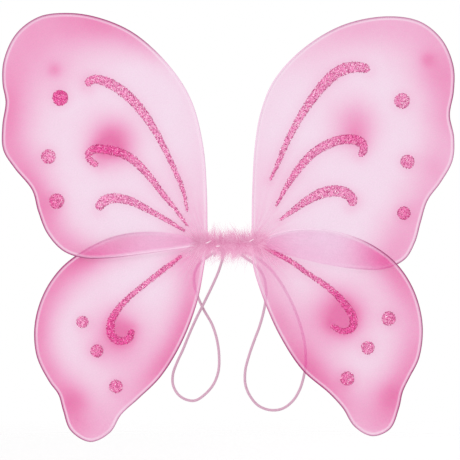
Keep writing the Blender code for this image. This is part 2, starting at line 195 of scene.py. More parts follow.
LOWER_RIGHT_SWIRLS = [
    [(10, -5, 0.9), (23.6, -10.4, 2.1), (42.7, -20.3, 2.5), (61.6, -33.8, 2.5), (80, -46.2, 2.9),
     (95.4, -59.7, 3.5), (106.6, -73.8, 4.1), (111.5, -84.5, 4.1), (109.5, -93.6, 3.8), (100, -97, 3.2),
     (86.6, -90.7, 2.5)],
]

# (out, up, radius) of each dot
UPPER_LEFT_DOTS = [(161, 159.5, 8.6), (174, 95, 7.8), (165, 46, 8.2)]
UPPER_RIGHT_DOTS = [(165, 156.5, 8.4), (171, 89.5, 7.6), (167, 33, 7.2)]
LOWER_LEFT_DOTS = [(137, -87, 6.6), (121, -119, 7), (100, -158, 7.2)]
LOWER_RIGHT_DOTS = [(150, -83, 7.6), (127, -115, 7.2), (104.5, -149, 7.6)]

# (x, y, z) along each elastic loop
LEFT_LOOP = [
    (-6.5, 0.1, -12), (-7.4, 1.2, -16), (-9, 3, -22), (-12.5, 5, -32.5), (-20, 6.3, -49.5),
    (-28.5, 6.5, -67), (-37.5, 6.5, -85), (-45, 6.5, -102), (-51.5, 6.5, -118), (-58, 6.8, -132),
    (-62.5, 7, -145), (-62.5, 7.2, -157), (-57, 7.5, -167.5), (-48, 8, -173.5), (-38, 8.5, -174.5),
    (-27.5, 9, -168), (-18, 9.5, -157), (-12.5, 10, -143), (-11.5, 10.3, -126), (-14, 10.5, -107),
    (-19.5, 10.5, -90), (-28, 10.5, -75), (-35, 10.5, -60), (-39, 10.3, -46), (-38.5, 9.5, -33),
    (-33, 7.6, -22.5), (-25.5, 5.2, -16.5), (-20.5, 3.1, -13), (-16.9, 1.5, -10.6),
]
RIGHT_LOOP = [
    (11, 0.9, -10.8), (14, 2, -13.8), (19, 3.4, -17.3), (26, 5, -22), (33, 6, -29), (38, 6.5, -38),
    (40.5, 6.5, -50), (40, 6.5, -63), (37.5, 6.5, -77), (33, 6.5, -93), (27, 6.5, -109),
    (21.5, 6.5, -125), (17.5, 6.5, -141), (17.5, 6.6, -156), (22.5, 6.9, -169), (32, 7.2, -180),
    (45, 7.6, -185), (58.5, 8, -183.5), (70, 8.3, -175), (77.5, 8.6, -163), (82, 8.8, -149),
    (84.5, 9, -132), (83.5, 9, -113), (79, 9, -93), (71.5, 9, -72), (62, 8.8, -53), (51.5, 8.3, -36.5),
    (40, 7.2, -24), (30, 5.3, -16.3), (23, 3.4, -12.4), (17.9, 1.8, -10.1),
]

# ---------------------------------------------------------------- airbrushed dye, 0 pale to 1 deep

# Sprayed along the wire: (share of the way round, strength, reach)
UPPER_LEFT_RIM = [
    (0, 0.42, 34), (0.06, 0.12, 20), (0.12, 0.06, 12), (0.24, 0.06, 12), (0.28, 0.4, 14),
    (0.33, 0.66, 25), (0.38, 0.75, 34), (0.42, 0.78, 54), (0.47, 0.68, 60), (0.53, 0.62, 52),
    (0.58, 0.74, 30), (0.65, 0.62, 30), (0.7, 0.82, 27), (0.74, 0.82, 24), (0.78, 0.66, 28),
    (0.82, 0.66, 21), (0.86, 0.55, 18), (0.9, 0.28, 14), (0.95, 0.18, 14), (1, 0.3, 36),
]
UPPER_RIGHT_RIM = [
    (0, 0.3, 40), (0.06, 0.1, 24), (0.12, 0.04, 14), (0.22, 0.04, 14), (0.27, 0.16, 18),
    (0.3, 0.36, 28), (0.34, 0.48, 28), (0.38, 0.42, 30), (0.43, 0.52, 42), (0.48, 0.56, 46),
    (0.53, 0.66, 38), (0.58, 0.62, 30), (0.62, 0.42, 32), (0.66, 0.35, 34), (0.7, 0.52, 32),
    (0.74, 0.58, 30), (0.78, 0.3, 34), (0.82, 0.85, 26), (0.86, 0.34, 16), (0.9, 0.12, 14),
    (0.94, 0.15, 16), (1, 0.22, 38),
]
LOWER_LEFT_RIM = [
    (0, 0.22, 26), (0.06, 0.06, 14), (0.1, 0.56, 18), (0.14, 0.98, 21), (0.18, 1.05, 24),
    (0.22, 1.1, 24), (0.26, 0.85, 27), (0.3, 0.8, 25), (0.34, 0.68, 21), (0.38, 0.78, 20),
    (0.42, 0.7, 21), (0.46, 0.66, 22), (0.5, 0.76, 28), (0.54, 0.7, 30), (0.58, 0.57, 34),
    (0.63, 0.4, 40), (0.67, 0.4, 38), (0.71, 0.62, 28), (0.74, 0.66, 24), (0.78, 0.82, 20),
    (0.82, 0.86, 22), (0.86, 0.86, 24), (0.9, 0.8, 24), (0.94, 0.5, 24), (0.98, 0.46, 28), (1, 0.3, 28),
]
LOWER_RIGHT_RIM = [
    (0, 0.22, 24), (0.06, 0.02, 14), (0.15, 0, 14), (0.18, 0.14, 20), (0.22, 0.88, 26), (0.26, 0.8, 25),
    (0.29, 0.74, 25), (0.33, 0.82, 34), (0.38, 0.62, 34), (0.42, 0.56, 25), (0.46, 0.64, 25),
    (0.5, 0.85, 33), (0.54, 0.72, 30), (0.58, 0.46, 40), (0.63, 0.44, 46), (0.67, 0.58, 30),
    (0.7, 0.74, 28), (0.74, 0.88, 26), (0.78, 0.94, 26), (0.82, 0.78, 36), (0.86, 0.7, 30),
    (0.9, 0.58, 30), (0.94, 0.22, 30), (1, 0.3, 30),
]

# Sprayed spots: (out, up, radius, strength)
UPPER_LEFT_SPOTS = [
    (104, 112, 26, 0.98), (118, 99, 15, 0.22), (167, 190, 8, 0.3), (165, 186, 20, 0.14),
    (38, 66, 30, 0.14), (131, 176, 14, 0.14), (6, 10, 30, 0.1),
]
UPPER_RIGHT_SPOTS = [
    (113, 131, 25, 0.6), (118, 113, 16, 0.2), (193, 202, 8, 0.26), (197, 188, 20, 0.16),
    (196, 86, 18, 0.17), (156, 10, 22, 0.18), (112, 47, 12, 0.14), (33, 74, 32, 0.15),
    (84, 178, 28, 0.08), (6, 10, 30, 0.1),
]
LOWER_LEFT_SPOTS = [
    (98, -104, 33, 0.74), (94, -92, 14, 0.28), (144, -171, 18, 0.3), (30, -17, 22, 0.22),
    (6, -10, 30, 0.1),
]
LOWER_RIGHT_SPOTS = [
    (97, -80, 30, 1.05), (150, -166, 16, 0.25), (28, -18, 22, 0.2), (68, -24, 20, 0.12),
    (6, -10, 30, 0.1),
]


class Wing:
    """One wing: its place, its drawings and the CAD body that it moves with."""

    def __init__(self, name, body, side, layer, wire, swirls, dots, rim, spots):
        self.name = name
        self.body = body
        self.side = side
        self.y = SIDE_Y + layer * LAYER
        self.wire = wire
        self.swirls = swirls
        self.dots = dots
        self.rim = rim
        self.spots = spots

    def place(self, out, up, forward):
        """Points of the wing in the frame, in metres: out and up from its root, forward of its plane."""
        out, up, forward = np.broadcast_arrays(out, up, forward)
        points = np.stack([self.side * (ROOT_X + out), self.y - forward, up], axis=-1)
        return points * MM


WINGS = [
    Wing("upper_left", "left_side", -1, -1, UPPER_LEFT_WIRE, UPPER_LEFT_SWIRLS, UPPER_LEFT_DOTS,
         UPPER_LEFT_RIM, UPPER_LEFT_SPOTS),
    Wing("upper_right", "right_side", 1, 1, UPPER_RIGHT_WIRE, UPPER_RIGHT_SWIRLS, UPPER_RIGHT_DOTS,
         UPPER_RIGHT_RIM, UPPER_RIGHT_SPOTS),
    Wing("lower_left", "left_lower_wing", -1, 1, LOWER_LEFT_WIRE, LOWER_LEFT_SWIRLS, LOWER_LEFT_DOTS,
         LOWER_LEFT_RIM, LOWER_LEFT_SPOTS),
    Wing("lower_right", "right_lower_wing", 1, -1, LOWER_RIGHT_WIRE, LOWER_RIGHT_SWIRLS, LOWER_RIGHT_DOTS,
         LOWER_RIGHT_RIM, LOWER_RIGHT_SPOTS),
]

# ---------------------------------------------------------------- curves and meshes


def smooth(points, count):
    """count points, evenly spaced along a centripetal Catmull-Rom curve through the given points."""
    p = np.array(points, float)
    p = np.vstack([2 * p[0] - p[1], p, 2 * p[-1] - p[-2]])
    steps = np.arange(1, 25)[:, None] / 24
    fine = [p[1][None]]
    for a, b, c, d in zip(p, p[1:], p[2:], p[3:]):
        tb = np.linalg.norm(b - a) ** 0.5
        tc = tb + np.linalg.norm(c - b) ** 0.5
        td = tc + np.linalg.norm(d - c) ** 0.5
        t = tb + (tc - tb) * steps
        ab = a * (tb - t) / tb + b * t / tb
        bc = b * (tc - t) / (tc - tb) + c * (t - tb) / (tc - tb)
        cd = c * (td - t) / (td - tc) + d * (t - tc) / (td - tc)
        abc = ab * (tc - t) / tc + bc * t / tc
        bcd = bc * (td - t) / (td - tb) + cd * (t - tb) / (td - tb)
        fine.append(abc * (tc - t) / (tc - tb) + bcd * (t - tb) / (tc - tb))
    return evenly(np.vstack(fine), count)


def along_of(line):
    """How far along a line of straight runs each of its points is."""
    return np.concatenate([[0], np.cumsum(np.linalg.norm(np.diff(line, axis=0), axis=1))])


def evenly(line, count):
    """count points, evenly spaced along a line of straight runs."""
    along = along_of(line)
    at = np.linspace(0, along[-1], count)
    return np.stack([np.interp(at, along, line[:, k]) for k in range(line.shape[1])], axis=1)


def length_of(line):
    """The whole length of a line of straight runs."""
    return float(np.linalg.norm(np.diff(line, axis=0), axis=1).sum())


def sideways(line):
    """Unit vectors across a flat line, to the left of its direction."""
    ahead = np.gradient(line[:, :2], axis=0)
    across = np.stack([-ahead[:, 1], ahead[:, 0]], axis=1)
    return across / np.linalg.norm(across, axis=1)[:, None]


def wobble(points, size, seed):
    """Smooth noise from -1 to 1 at each point, with features of about that size."""
    flat = np.atleast_2d(points)
    shift = Vector((seed * 7.3, seed * 3.1, seed * 5.7))
    return np.array([noise.noise(Vector((*p, 0, 0)[:3]) / size + shift) for p in flat])


def new_piece(name, vertices, faces, material, attributes=None, shade=True):
    """A mesh piece from vertices in metres, with named values at its vertices."""
    data = bpy.data.meshes.new(name)
    data.from_pydata([tuple(v) for v in np.asarray(vertices, float)], [], [tuple(f) for f in faces])
    data.validate()
    for key, values in (attributes or {}).items():
        layer = data.attributes.new(key, "FLOAT", "POINT")
        layer.data.foreach_set("value", np.asarray(values, np.float32))
    if shade:
        data.shade_smooth()
    data.materials.append(material)
    made = bpy.data.objects.new(name, data)
    bpy.context.scene.collection.objects.link(made)
    return made


def frames_along(path):
    """Unit vectors along a path and two across it, turned as little as possible from point to point."""
    ahead = np.gradient(path, axis=0)
    ahead /= np.linalg.norm(ahead, axis=1)[:, None]
    across = np.zeros_like(path)
    start = np.array([0, 1, 0]) if abs(ahead[0][1]) < 0.9 else np.array([1, 0, 0])
    across[0] = start - ahead[0] * (start @ ahead[0])
    for k in range(1, len(path)):
        across[k] = across[k - 1] - ahead[k] * (across[k - 1] @ ahead[k])
        across[k] /= np.linalg.norm(across[k])
    across[0] /= np.linalg.norm(across[0])
    return ahead, across, np.cross(ahead, across)


def tube(path, radius, sides):
    """A closed tube along a path: its vertices and faces, and each vertex's place along it and round it."""
    ahead, across, up = frames_along(path)
    radius = np.broadcast_to(radius, len(path)).astype(float)
    turns = np.arange(sides) * 2 * math.pi / sides
    ring = across[:, None] * np.cos(turns)[None, :, None] + up[:, None] * np.sin(turns)[None, :, None]
    body = path[:, None] + ring * radius[:, None, None]
    vertices = body.reshape(-1, path.shape[1])
    faces = grid_faces(len(path), sides, wrap=True)
    start, end = len(vertices), len(vertices) + 1
    tips = [path[0] - ahead[0] * radius[0] * 0.4, path[-1] + ahead[-1] * radius[-1] * 0.4]
    vertices = np.vstack([vertices, tips])
    last = (len(path) - 1) * sides
    faces += [(start, (k + 1) % sides, k) for k in range(sides)]
    faces += [(end, last + k, last + (k + 1) % sides) for k in range(sides)]
    along = along_of(path)
    along = np.concatenate([np.repeat(along, sides), [0, along[-1]]])
    turn = np.concatenate([np.tile(turns, len(path)), [0, 0]])
    return vertices, faces, along, turn


def grid_faces(rows, columns, wrap):
    """Quads between rows of vertices. With wrap, each row is a ring."""
    span = columns if wrap else columns - 1
    faces = []
    for i in range(rows - 1):
        for j in range(span):
            a, b = i * columns + j, i * columns + (j + 1) % columns
            faces.append((a, b, b + columns, a + columns))
    return faces


def joined(tubes):
    """The vertices and faces of several tubes, as one mesh."""
    vertices, faces = [], []
    start = 0
    for points, its_faces, *_ in tubes:
        vertices.append(points)
        faces += [tuple(i + start for i in face) for face in its_faces]
        start += len(points)
    return np.vstack(vertices), faces


# ---------------------------------------------------------------- materials


class Tree:
    """A new material's node tree, with short calls that add nodes and link them."""

    def __init__(self, name):
        self.material = bpy.data.materials.new(name)
        self.material.use_nodes = True
        self.tree = self.material.node_tree
        self.tree.nodes.clear()
        self.output = self.tree.nodes.new("ShaderNodeOutputMaterial")

    def add(self, kind, inputs=None, **settings):
        made = self.tree.nodes.new("ShaderNode" + kind)
        for key, value in settings.items():
            setattr(made, key, value)
        for key, value in (inputs or {}).items():
            self.feed(made.inputs[key], value)
        return made

    def feed(self, socket, value):
        if isinstance(value, bpy.types.NodeSocket):
            self.tree.links.new(value, socket)
        else:
            socket.default_value = value

    def attribute(self, name):
        return self.add("Attribute", attribute_name=name).outputs["Fac"]

    def place(self):
        return self.add("TexCoord").outputs["Object"]

    def math(self, operation, a, b=0.0, clamp=False):
        made = self.add("Math", operation=operation, use_clamp=clamp)
        self.feed(made.inputs[0], a)
        self.feed(made.inputs[1], b)
        return made.outputs[0]

    def noise(self, size, detail=2.0, stretch=(1, 1, 1), roughness=0.5):
        """Noise with features of that size in millimetres, about 0.5."""
        scale = [1 / (size * MM * s) for s in stretch]
        place = self.add("Mapping", {"Vector": self.place(), "Scale": scale})
        inputs = {"Vector": place.outputs[0], "Scale": 1.0, "Detail": detail, "Roughness": roughness}
        return self.add("TexNoise", inputs).outputs["Fac"]

    def ramp(self, value, stops):
        """A smooth ramp of colours, as (place, (r, g, b))."""
        made = self.add("ValToRGB", {"Fac": value})
        ramp = made.color_ramp
        while len(ramp.elements) < len(stops):
            ramp.elements.new(0.5)
        for element, (place, colour) in zip(ramp.elements, stops):
            element.position = place
            element.color = (*colour, 1)
        return made.outputs["Color"]

    def mix(self, share, a, b):
        made = self.add("Mix", data_type="RGBA")
        self.feed(made.inputs[0], share)
        self.feed(made.inputs[6], (*a, 1) if isinstance(a, tuple) else a)
        self.feed(made.inputs[7], (*b, 1) if isinstance(b, tuple) else b)
        return made.outputs[2]

    def range(self, value, low, high, to_low, to_high):
        inputs = {"Value": value, "From Min": low, "From Max": high, "To Min": to_low, "To Max": to_high}
        return self.add("MapRange", inputs).outputs[0]

    def bump(self, height, strength, distance):
        inputs = {"Height": height, "Strength": strength, "Distance": distance * MM}
        return self.add("Bump", inputs).outputs[0]

    def principled(self, inputs):
        return self.add("BsdfPrincipled", inputs).outputs[0]

    def shade(self, shader):
        self.tree.links.new(shader, self.output.inputs["Surface"])
        return self.material


def nylon_material():
    """Sheer dyed nylon. Deeper dye is more opaque. Round the wire's outside the cloth is more opaque and
    darkened by painted shade, and just inside it a painted highlight lightens it.
    """
    t = Tree("sheer_nylon")
    cloud = t.math("SUBTRACT", t.noise(26, 3.0), 0.5)
    mottle = t.math("SUBTRACT", t.noise(5, 2.0), 0.5)
    dye = t.math("ADD", t.attribute("dye"), t.math("MULTIPLY", cloud, 0.10))
    dye = t.math("ADD", dye, t.math("MULTIPLY", mottle, 0.04), clamp=True)
    colour = t.ramp(dye, [
        (0.0, (0.825, 0.59, 0.755)), (0.25, (0.82, 0.452, 0.655)), (0.5, (0.805, 0.32, 0.565)),
        (0.75, (0.785, 0.188, 0.455)), (1.0, (0.74, 0.09, 0.36)),
    ])
    # The wrap mask marks the cloth round the wire: there it is made more opaque, and its colour is
    # multiplied darker as painted shade.
    wrap = t.attribute("wrap")
    shadow = t.mix(dye, (0.58, 0.64, 0.62), (0.50, 0.52, 0.50))
    wire_shaded = t.mix(1.0, colour, shadow)
    wire_shaded.node.blend_type = "MULTIPLY"
    colour = t.mix(wrap, colour, wire_shaded)
    # Painted highlight: a pale line just inside the wire, where the shiny nylon lifts off it, strongest
    # where the dye is pale; the cloth is also glossier there.
    ridge = t.attribute("ridge")
    light = t.math("MULTIPLY", ridge, t.range(dye, 0.0, 1.0, 0.42, 0.2))
    colour = t.mix(light, colour, (0.97, 0.80, 0.90))
    fibre = t.noise(0.28, 1.0, stretch=(1, 1, 9))
    course = t.noise(0.28, 1.0, stretch=(9, 1, 1))
    weave = t.math("SUBTRACT", t.math("ADD", fibre, course), 1.0)
    cover = t.range(dye, 0.0, 1.0, 0.46, 0.66)
    cover = t.math("ADD", cover, t.math("MULTIPLY", weave, 0.20))
    cover = t.math("ADD", cover, t.math("MULTIPLY", t.attribute("pleat"), 0.06))
    cover = t.math("ADD", cover, t.math("MULTIPLY", wrap, 0.35), clamp=True)
    rough = t.math("SUBTRACT", t.range(fibre, 0.3, 0.7, 0.42, 0.6), t.math("MULTIPLY", ridge, 0.12))
    cloth = t.principled({
        "Base Color": colour, "Roughness": rough, "Specular IOR Level": 0.25, "Sheen Weight": 0.15,
        "Sheen Roughness": 0.4, "Normal": t.bump(weave, 0.25, 0.05),
    })
    glow = t.add("BsdfTranslucent", {"Color": colour}).outputs[0]
    cloth = t.add("MixShader", {0: 0.5, 1: cloth, 2: glow}).outputs[0]
    clear = t.add("BsdfTransparent").outputs[0]
    return t.shade(t.add("MixShader", {0: cover, 1: clear, 2: cloth}).outputs[0])


def wire_material():
    """Steel wire with a pale pink coating, a little scuffed."""
    t = Tree("frame_wire")
    dull = t.noise(3, 3.0)
    colour = t.mix(dull, (0.92, 0.72, 0.85), (0.98, 0.86, 0.94))
    rough = t.range(dull, 0.3, 0.7, 0.25, 0.45)
    scratches = t.noise(0.2, 2.0, stretch=(1, 1, 6))
    return t.shade(t.principled({
        "Base Color": colour, "Roughness": rough, "Coat Weight": 0.3,
        "Normal": t.bump(scratches, 0.2, 0.05),
    }))


def flake_material():
    """Glitter: each flake has one tone, deep magenta to nearly white. Dye sprayed over it deepens it."""
    t = Tree("glitter_flake")
    pale = t.ramp(t.attribute("tone"), [
        (0.0, (0.38, 0.03, 0.15)), (0.35, (0.64, 0.08, 0.30)), (0.6, (0.88, 0.21, 0.49)),
        (0.8, (0.97, 0.48, 0.71)), (1.0, (1.0, 0.88, 0.95)),
    ])
    deep = t.ramp(t.attribute("tone"), [
        (0.0, (0.36, 0.015, 0.12)), (0.45, (0.72, 0.03, 0.26)), (0.8, (0.92, 0.10, 0.42)),
        (1.0, (0.98, 0.45, 0.70)),
    ])
    colour = t.mix(t.attribute("dye"), pale, deep)
    rough = t.range(t.noise(0.6, 1.0), 0.3, 0.7, 0.2, 0.4)
    return t.shade(t.principled({"Base Color": colour, "Metallic": 0.3, "Roughness": rough}))


def glue_material():
    """Dried pink glue that holds the glitter, thinner at its edges. Dye sprayed over it deepens it."""
    t = Tree("glitter_glue")
    speck = t.noise(0.9, 2.0)
    pale = t.ramp(speck, [
        (0.35, (0.72, 0.13, 0.37)), (0.5, (0.87, 0.29, 0.55)), (0.65, (0.95, 0.50, 0.72)),
    ])
    deep = t.ramp(speck, [
        (0.35, (0.62, 0.02, 0.20)), (0.5, (0.82, 0.06, 0.33)), (0.65, (0.90, 0.15, 0.45)),
    ])
    colour = t.mix(t.attribute("dye"), pale, deep)
    cover = t.math("MULTIPLY", t.attribute("cover"), t.range(speck, 0.3, 0.6, 0.85, 1.15))
    rough = t.range(speck, 0.3, 0.7, 0.25, 0.45)
    glue = t.principled({
        "Base Color": colour, "Roughness": rough, "Coat Weight": 0.3, "Normal": t.bump(speck, 0.6, 0.25),
    })
    clear = t.add("BsdfTransparent").outputs[0]
    return t.shade(t.add("MixShader", {0: t.math("MINIMUM", cover, 1.0), 1: clear, 2: glue}).outputs[0])


def down_material():
    """Marabou down: deeper near the quill, partly its own colour and partly painted shade for the barbs'
    shadows on each other, paler at the tips, each barb a little different.
    """
    t = Tree("marabou_down")
    # The ramp's darker root is partly painted shade, standing in for the barbs' shadows on each other.
    colour = t.ramp(t.attribute("tip"), [
        (0.0, (0.68, 0.23, 0.41)), (0.5, (0.77, 0.34, 0.53)), (1.0, (0.90, 0.58, 0.73)),
    ])
    deep = t.mix(1.0, colour, (0.84, 0.62, 0.74))
    deep.node.blend_type = "MULTIPLY"
    colour = t.mix(t.attribute("tone"), colour, deep)
    rough = t.range(t.noise(2, 1.0), 0.3, 0.7, 0.75, 0.95)
    return t.shade(t.principled({"Base Color": colour, "Roughness": rough, "Specular IOR Level": 0.1}))


def quill_material():
    """Glossy pale quills."""
    t = Tree("marabou_quill")
    colour = t.mix(t.noise(4, 2.0), (0.93, 0.66, 0.80), (0.98, 0.86, 0.92))
    rough = t.range(t.noise(1, 1.0), 0.3, 0.7, 0.15, 0.3)
    return t.shade(t.principled({"Base Color": colour, "Roughness": rough, "Coat Weight": 0.5}))


def elastic_material():
    """Round braided elastic: two sets of yarns cross round the cord."""
    t = Tree("braided_elastic")
    pitch = 2 * math.pi / 1.5
    along = t.math("MULTIPLY", t.attribute("along"), pitch)
    turn = t.math("MULTIPLY", t.attribute("turn"), 4)
    lead = t.math("ADD", along, turn)
    lag = t.math("SUBTRACT", along, turn)
    braid = t.math("MULTIPLY", t.math("SINE", lead), t.math("SINE", lag))
    fuzz = t.noise(0.5, 3.0)
    share = t.range(t.math("ADD", braid, fuzz), -0.5, 1.5, 0.0, 1.0)
    colour = t.mix(share, (0.48, 0.24, 0.37), (0.86, 0.57, 0.70))
    rough = t.range(fuzz, 0.3, 0.7, 0.6, 0.85)
    return t.shade(t.principled({
        "Base Color": colour, "Roughness": rough, "Sheen Weight": 0.3, "Sheen Roughness": 0.4,
        "Normal": t.bump(braid, 0.7, 0.25),
    }))


def thread_material():
    """Wound polyester thread."""
    t = Tree("wound_thread")
    fuzz = t.noise(0.4, 3.0)
    colour = t.mix(fuzz, (0.62, 0.24, 0.42), (0.88, 0.48, 0.66))
    rough = t.range(fuzz, 0.3, 0.7, 0.5, 0.8)
    return t.shade(t.principled({
        "Base Color": colour, "Roughness": rough, "Sheen Weight": 0.3, "Sheen Roughness": 0.4,
        "Normal": t.bump(fuzz, 0.5, 0.15),
    }))


def tape_material():
    """Ribbed cloth tape, a little creased."""
    t = Tree("cloth_tape")
    ribs = t.noise(0.35, 1.0, stretch=(1, 8, 8))
    crease = t.noise(5, 4.0)
    shade = t.math("MULTIPLY", t.math("ADD", ribs, crease), 0.5)
    colour = t.mix(shade, (0.66, 0.24, 0.44), (0.90, 0.48, 0.67))
    rough = t.range(ribs, 0.3, 0.7, 0.5, 0.7)
    height = t.math("ADD", ribs, t.math("MULTIPLY", crease, 2.0))
    return t.shade(t.principled({
        "Base Color": colour, "Roughness": rough, "Sheen Weight": 0.2, "Sheen Roughness": 0.4,
        "Normal": t.bump(height, 0.5, 0.2),
    }))


# ---------------------------------------------------------------- studio


def make_camera():
    """A long lens straight in front."""
    data = bpy.data.cameras.new("camera")
    data.lens = LENS
    data.clip_end = 20
    camera = bpy.data.objects.new("camera", data)
    aim = Vector(CAMERA_AIM) * MM
    camera.location = aim - Vector((0, CAMERA_DISTANCE * MM, 0))
    camera.rotation_euler = (math.radians(90), 0, 0)
    bpy.context.scene.collection.objects.link(camera)
    bpy.context.scene.camera = camera


def make_lights():
    """A white room, a large soft key lamp to the upper left in front, and a weak one behind."""
    world = bpy.data.worlds.new("studio")
    bpy.context.scene.world = world
    world.use_nodes = True
    tree = world.node_tree
    tree.nodes.clear()
    output = tree.nodes.new("ShaderNodeOutputWorld")
    seen = tree.nodes.new("ShaderNodeBackground")
    lit = tree.nodes.new("ShaderNodeBackground")
    ray = tree.nodes.new("ShaderNodeLightPath")
    mix = tree.nodes.new("ShaderNodeMixShader")
    seen.inputs["Strength"].default_value = 1.0
    seen.inputs["Color"].default_value = (1, 1, 1, 1)
    lit.inputs["Strength"].default_value = 0.86
    lit.inputs["Color"].default_value = (1, 0.985, 0.99, 1)
    tree.links.new(ray.outputs["Is Camera Ray"], mix.inputs[0])
    tree.links.new(lit.outputs[0], mix.inputs[1])
    tree.links.new(seen.outputs[0], mix.inputs[2])
    tree.links.new(mix.outputs[0], output.inputs["Surface"])
    for name, place, size, power in (
        ("key", (-1.3, -1.9, 1.7), 1.1, 26),
        ("rim", (1.5, 1.6, 1.2), 1.2, 10),
    ):
        data = bpy.data.lights.new(name, "AREA")
        data.size = size
        data.energy = power
        lamp = bpy.data.objects.new(name, data)
        lamp.location = place
        lamp.rotation_euler = Vector(place).to_track_quat("Z", "Y").to_euler()
        bpy.context.scene.collection.objects.link(lamp)
    bpy.context.scene.view_settings.view_transform = "Standard"


def make_floor():
    """A pale round floor that fades out towards its edge."""
    t = Tree("studio_floor")
    far = t.add("VectorMath", {0: t.place()}, operation="LENGTH").outputs["Value"]
    cover = t.range(far, FLOOR_R * MM * 0.35, FLOOR_R * MM * 0.98, 1.0, 0.0)
    colour = t.mix(t.noise(400, 2.0), (0.93, 0.925, 0.93), (0.96, 0.955, 0.96))
    floor = t.principled({"Base Color": colour, "Roughness": 0.7, "Specular IOR Level": 0.2})
    clear = t.add("BsdfTransparent").outputs[0]
    material = t.shade(t.add("MixShader", {0: cover, 1: clear, 2: floor}).outputs[0])
    turns = np.arange(FLOOR_SIDES) * 2 * math.pi / FLOOR_SIDES
    ring = np.stack([np.cos(turns), np.sin(turns), 0 * turns], axis=1) * FLOOR_R * MM
    made = new_piece("studio_floor", ring, [range(FLOOR_SIDES)], material)
    made.location.z = FLOOR_Z * MM


# ---------------------------------------------------------------- elastic loops


def make_loop(name, route, material):
    """A shoulder loop, from one knot down and back up to the other."""
    path = smooth(route, LOOP_POINTS)
    vertices, faces, along, turn = tube(path, ELASTIC_R, ELASTIC_SIDES)
    piece = new_piece(name, vertices * MM, faces, material, {"along": along, "turn": turn})
    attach(piece, "bridge")
    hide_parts(name.replace("braided", "elastic"))


def make_knot(name, material):
    """An overhand knot in the elastic, with its short tail and the end that goes up into the tape."""
    low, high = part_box(f"{name}_loop_knot")
    middle = np.array((low + high) / 2) / MM
    t = np.linspace(0.35, 2 * math.pi - 0.35, 90)
    size = (high.x - low.x) / MM / 2 * 0.42
    knot = np.stack([
        (np.sin(t) + 2 * np.sin(2 * t)) * size * 0.72,
        -np.sin(3 * t) * size * 0.9,
        (np.cos(t) - 2 * np.cos(2 * t)) * size * 0.72,
    ], axis=1)
    up = np.array([[0.2, 0.4, 3.8], [0.3, 0.2, 2.8]])
    tail = np.array([[-1.4, 0.8, -3.2], [-2.6, 1.2, -6.5]])
    path = smooth(np.vstack([up, knot[::9], tail]) + middle, 150)
    vertices, faces, along, turn = tube(path, KNOT_CORD_R, ELASTIC_SIDES)
    piece = new_piece(f"{name}_knot", vertices * MM, faces, material, {"along": along, "turn": turn})
    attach(piece, "bridge")
    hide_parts(f"{name}_loop_knot")


# ---------------------------------------------------------------- wings


def doubled_area(line):
    """Twice the area in a flat closed line, above 0 if the line runs counterclockwise."""
    x, y = line.T
    return np.sum(x * np.roll(y, -1) - np.roll(x, -1) * y)


def inward(line):
    """Unit vectors across a flat closed line, towards its inside."""
    return sideways(line) * (1 if doubled_area(line) > 0 else -1)


def distance_to(points, line):
    """Each point's distance to a closed line of straight runs."""
    a, b = line, np.roll(line, -1, axis=0)
    run = b - a
    squared = np.maximum((run**2).sum(1), 1e-9)
    best = np.full(len(points), 1e9)
    for start, step, size in zip(a, run, squared):
        share = np.clip(((points - start) @ step) / size, 0, 1)
        gap = points - (start + share[:, None] * step)
        best = np.minimum(best, (gap**2).sum(1))
    return np.sqrt(best)


def inside(points, line):
    """Which points lie inside a closed line."""
    x, y = points.T
    within = np.zeros(len(points), bool)
    for (ax, ay), (bx, by) in zip(line, np.roll(line, -1, axis=0)):
        if ay != by:
            crosses = (ay > y) != (by > y)
            within ^= crosses & (x < (bx - ax) * (y - ay) / (by - ay) + ax)
    return within


def ring_gap(radius):
    """The space between points on a ring about the root, and from it to the next ring."""
    return np.minimum(LEAST_RING_GAP + RING_GAP_GROWTH * radius, WIDEST_RING_GAP)


def cloth_points(rim):
    """Points inside the wire: rows along it, then rings about the root that widen outwards."""
    normal = inward(rim)
    kept = []
    for row in CLOTH_ROWS:
        points = rim + normal * row
        near = distance_to(points, rim)
        kept.append(points[(near > row * 0.93) & inside(points, rim)])
    radius, turned = FIRST_RING, 0.0
    rings = []
    while radius < LAST_RING:
        gap = ring_gap(radius)
        angles = np.arange(0, 2 * math.pi, gap / radius) + turned
        rings.append(np.stack([np.cos(angles), np.sin(angles)], axis=1) * radius)
        radius += gap * 0.87
        turned += gap / radius / 2
    rings = np.vstack(rings)
    rings = rings[inside(rings, rim)]
    room = CLOTH_ROWS[-1] + ring_gap(np.linalg.norm(rings, axis=1)) * 0.6
    kept.append(rings[distance_to(rings, rim) > room])
    return np.vstack(kept)


